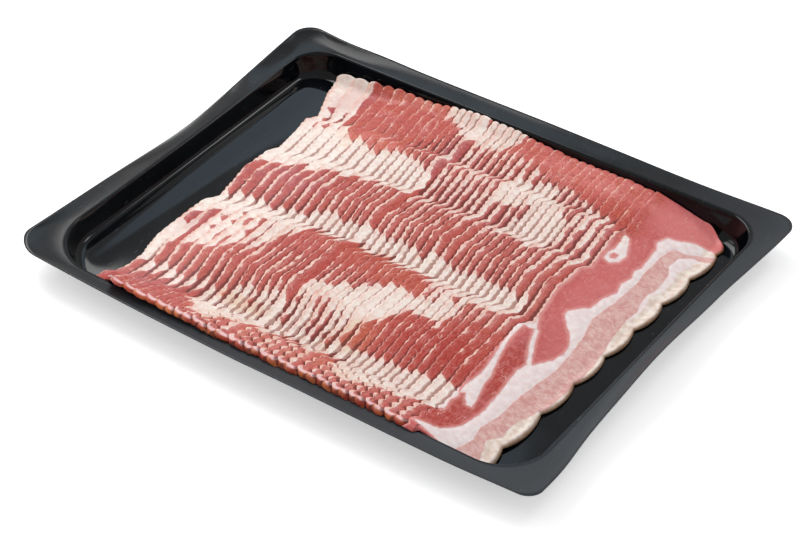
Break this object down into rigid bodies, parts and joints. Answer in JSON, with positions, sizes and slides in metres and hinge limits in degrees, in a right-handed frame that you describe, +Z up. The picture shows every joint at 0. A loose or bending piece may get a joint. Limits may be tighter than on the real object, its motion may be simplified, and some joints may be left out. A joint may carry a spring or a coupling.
{
  "type": "bacon pack",
  "caption": "Open shallow black plastic tray with a wide flange, filled with thin streaky bacon rashers shingled in one overlapping row.",
  "frame": {"origin": "middle of the tray's foot, on the surface that it stands on", "axes": "+X along the tray's long side, the way each rasher overlaps the one before; +Y along the rashers, away from the front side; +Z up"},
  "size_m": [0.3255, 0.2604, 0.0208],
  "materials": {
    "tray_plastic": "thin glossy black thermoformed sheet",
    "bacon": "moist raw cured pork belly, rose lean with cream fat; rubber stands in for meat"
  },
  "bodies": {
    "root": {"tray": "tray_plastic", "rasher_01": "bacon", "rasher_02": "bacon", "rasher_03": "bacon", "rasher_04": "bacon", "rasher_05": "bacon", "rasher_06": "bacon", "rasher_07": "bacon", "rasher_08": "bacon", "rasher_09": "bacon", "rasher_10": "bacon", "rasher_11": "bacon", "rasher_12": "bacon", "rasher_13": "bacon", "rasher_14": "bacon", "rasher_15": "bacon", "rasher_16": "bacon", "rasher_17": "bacon", "rasher_18": "bacon", "rasher_19": "bacon", "rasher_20": "bacon", "rasher_21": "bacon", "rasher_22": "bacon", "rasher_23": "bacon", "rasher_24": "bacon", "rasher_25": "bacon", "rasher_26": "bacon", "rasher_27": "bacon", "rasher_28": "bacon", "rasher_29": "bacon", "rasher_30": "bacon", "rasher_31": "bacon", "rasher_32": "bacon", "rasher_33": "bacon", "rasher_34": "bacon", "rasher_35": "bacon", "rasher_36": "bacon"}
  },
  "joints": []
}
